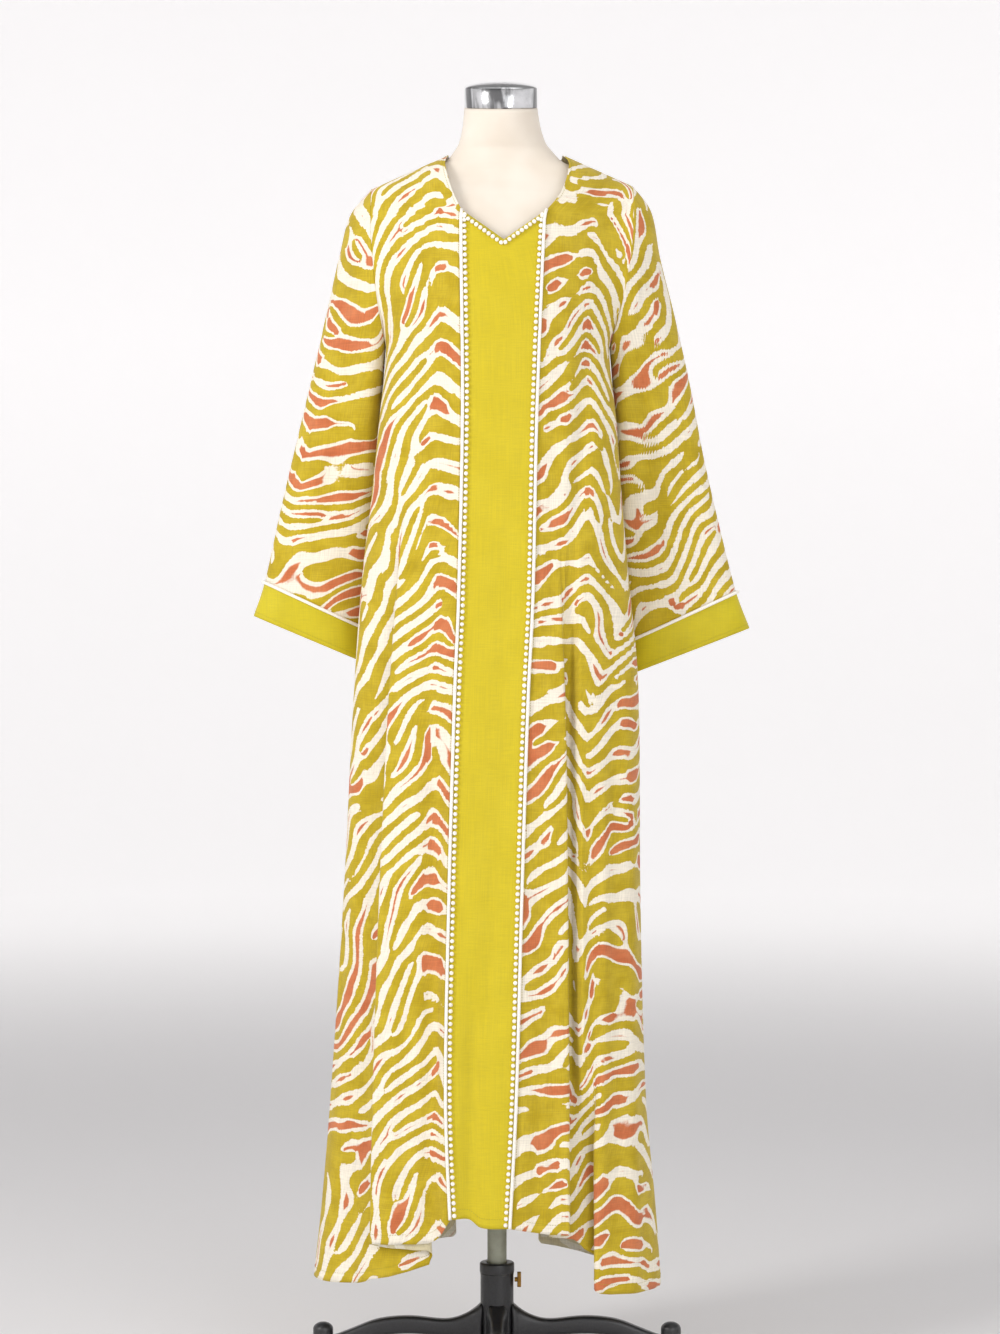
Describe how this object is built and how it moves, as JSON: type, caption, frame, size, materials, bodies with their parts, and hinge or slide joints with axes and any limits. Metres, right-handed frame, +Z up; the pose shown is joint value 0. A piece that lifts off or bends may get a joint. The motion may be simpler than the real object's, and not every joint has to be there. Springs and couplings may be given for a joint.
{
  "type": "abaya on a dress form",
  "caption": "Long A-line abaya with a plain centre panel, wide cuffed sleeves and a V neck, filled out on a limbless dress form with a pole and a four-legged iron stand.",
  "frame": {"origin": "on the floor under the stand's pole", "axes": "+Z up, the garment's front faces -Y, +X is the wearer's left"},
  "size_m": [0.65, 0.478, 1.6803],
  "materials": {
    "printed_cloth": "matte woven print of white and coral stripes on lime",
    "lime_cloth": "slubbed weave with a soft sheen",
    "white_piping": "matte",
    "form_jersey": "matte jersey over a moulded shell",
    "chrome": "polished",
    "steel": "satin",
    "black_iron": "painted, slightly rough",
    "brass": "worn"
  },
  "bodies": {
    "stand": {"stand_hub": "black_iron", "leg_left": "black_iron", "leg_back": "black_iron", "leg_right": "black_iron", "leg_front": "black_iron", "foot_left": "black_iron", "foot_back": "black_iron", "foot_right": "black_iron", "foot_front": "black_iron", "thumb_screw": "brass"},
    "mast": {"pole": "steel"},
    "form": {"form_torso": "form_jersey", "neck_cap": "chrome", "front_right": "printed_cloth", "front_left": "printed_cloth", "centre_panel": "lime_cloth", "back": "printed_cloth", "panel_piping_right": "white_piping", "panel_piping_left": "white_piping", "sleeve_right": "printed_cloth", "sleeve_left": "printed_cloth", "cuff_right": "lime_cloth", "cuff_left": "lime_cloth", "cuff_piping_right": "white_piping", "cuff_piping_left": "white_piping"}
  },
  "joints": [
    {"name": "stand_height", "type": "slide", "parent": "stand", "child": "mast", "axis": [0, 0, 1], "range_m": [-0.02, 0.07]},
    {"name": "form_swivel", "type": "hinge", "parent": "mast", "child": "form", "pos_m": [0, 0, 0.797], "axis": [0, 0, 1], "continuous": true}
  ]
}
